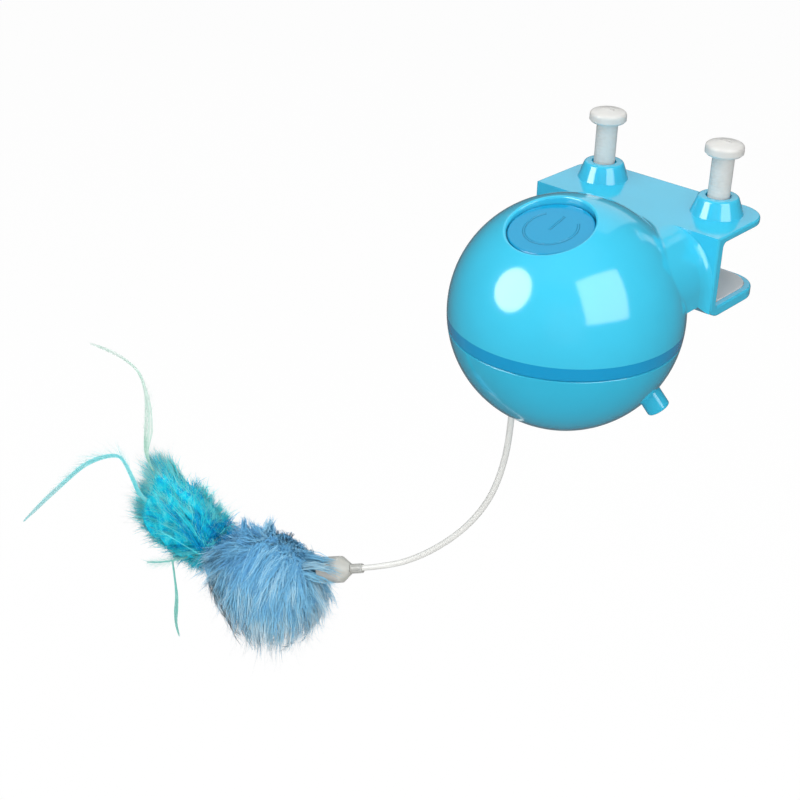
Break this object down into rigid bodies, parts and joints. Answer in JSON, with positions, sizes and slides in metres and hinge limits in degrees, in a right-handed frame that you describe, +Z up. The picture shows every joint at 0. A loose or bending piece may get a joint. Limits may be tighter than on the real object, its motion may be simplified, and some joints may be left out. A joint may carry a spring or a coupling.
{
  "type": "cat laser toy",
  "caption": "Ball-shaped cat laser toy on a C-shaped table clamp, with a motor-driven turning lower half that carries a laser nozzle and a springy wand with a feather lure.",
  "frame": {"origin": "middle of the clamp pad's top face, where the table rests", "axes": "+Z up, along the clamp screws; +Y from the ball towards the clamp's open end; +X along the clamp"},
  "size_m": [0.2691, 0.1541, 0.2498],
  "materials": {
    "shell": "high gloss sky-blue moulded ABS",
    "band": "gloss mid-blue moulded ABS",
    "bowl": "high gloss blue moulded ABS",
    "button": "satin gloss blue",
    "white_nylon": "smooth white nylon",
    "pad": "pale grey matte rubber",
    "inner_plastic": "natural moulded plastic",
    "steel": "bright steel",
    "brass": "turned brass",
    "board": "green circuit board",
    "cell": "wrapped cell",
    "lens": "clear lens",
    "rod": "off-white coated spring wire",
    "ferrule": "translucent moulded plastic",
    "feather_blue": "soft down",
    "feather_turquoise": "feather barbs",
    "feather_mint": "feather barbs"
  },
  "bodies": {
    "housing": {"upper_shell": "shell", "base_plate": "band", "base_screws": "steel", "clamp_pad": "pad", "battery_box": "inner_plastic", "battery_cells": "cell", "cell_contacts": "steel", "control_board": "board", "board_parts": "cell", "board_screws": "steel", "push_switch": "cell", "drive_motor": "steel", "motor_plate": "inner_plastic", "motor_plate_screws": "steel", "idler_pin": "steel", "hub_bush": "brass", "wiper_springs": "brass"},
    "clamp_screw_left_body": {"clamp_screw_left": "white_nylon"},
    "clamp_screw_right_body": {"clamp_screw_right": "white_nylon"},
    "button_body": {"power_button": "button", "switch_plunger": "inner_plastic"},
    "door_body": {"battery_door": "shell", "door_contacts": "steel", "door_screws": "steel"},
    "motor_rotor": {"motor_shaft": "steel", "motor_pinion": "inner_plastic"},
    "idler_body": {"idler_gear": "inner_plastic"},
    "bowl_body": {"output_gear": "inner_plastic", "gear_screw": "steel", "bowl_hub": "inner_plastic", "slip_ring_disc": "board", "slip_ring_tracks": "brass", "lower_bowl": "bowl", "bowl_screws": "steel", "laser_module": "brass", "laser_lens": "lens", "laser_board": "board"},
    "wand_body": {"wand_rod": "rod", "rod_sleeve": "ferrule", "lure_ferrule": "ferrule", "lure_pompom": "feather_blue", "lure_crimp": "steel", "turquoise_plume": "feather_turquoise", "hackle_upper": "feather_mint", "hackle_left": "feather_mint", "hackle_lower": "feather_mint"}
  },
  "joints": [
    {"name": "bowl_spin", "type": "hinge", "parent": "housing", "child": "bowl_body", "pos_m": [0, -0.0495, -0.0036], "axis": [0, 0, 1], "continuous": true},
    {"name": "idler_spin", "type": "hinge", "parent": "housing", "child": "idler_body", "pos_m": [0.01069, -0.06398, -0.0036], "axis": [0, 0, 1], "continuous": true},
    {"name": "motor_spin", "type": "hinge", "parent": "housing", "child": "motor_rotor", "pos_m": [0, -0.0745, -0.0036], "axis": [0, 0, 1], "continuous": true},
    {"name": "button_press", "type": "slide", "parent": "housing", "child": "button_body", "axis": [0, 0.2588, -0.9659], "range_m": [0, 0.0012], "stiffness_N_per_m": 300, "springref_m": -0.001},
    {"name": "clamp_screw_left_travel", "type": "slide", "parent": "housing", "child": "clamp_screw_left_body", "axis": [0, 0, -1], "range_m": [0, 0.0145]},
    {"name": "clamp_screw_right_travel", "type": "slide", "parent": "housing", "child": "clamp_screw_right_body", "axis": [0, 0, -1], "range_m": [0, 0.0145]},
    {"name": "battery_door_pull", "type": "slide", "parent": "housing", "child": "door_body", "axis": [0, 1, 0], "range_m": [0, 0.028]},
    {"name": "wand_plug", "type": "slide", "parent": "bowl_body", "child": "wand_body", "axis": [0, 0, -1], "range_m": [0, 0.012]}
  ],
  "couplings": [
    {"joint": "idler_spin", "follows": "bowl_spin", "ratio": -3.2857},
    {"joint": "motor_spin", "follows": "bowl_spin", "ratio": 10.405}
  ]
}
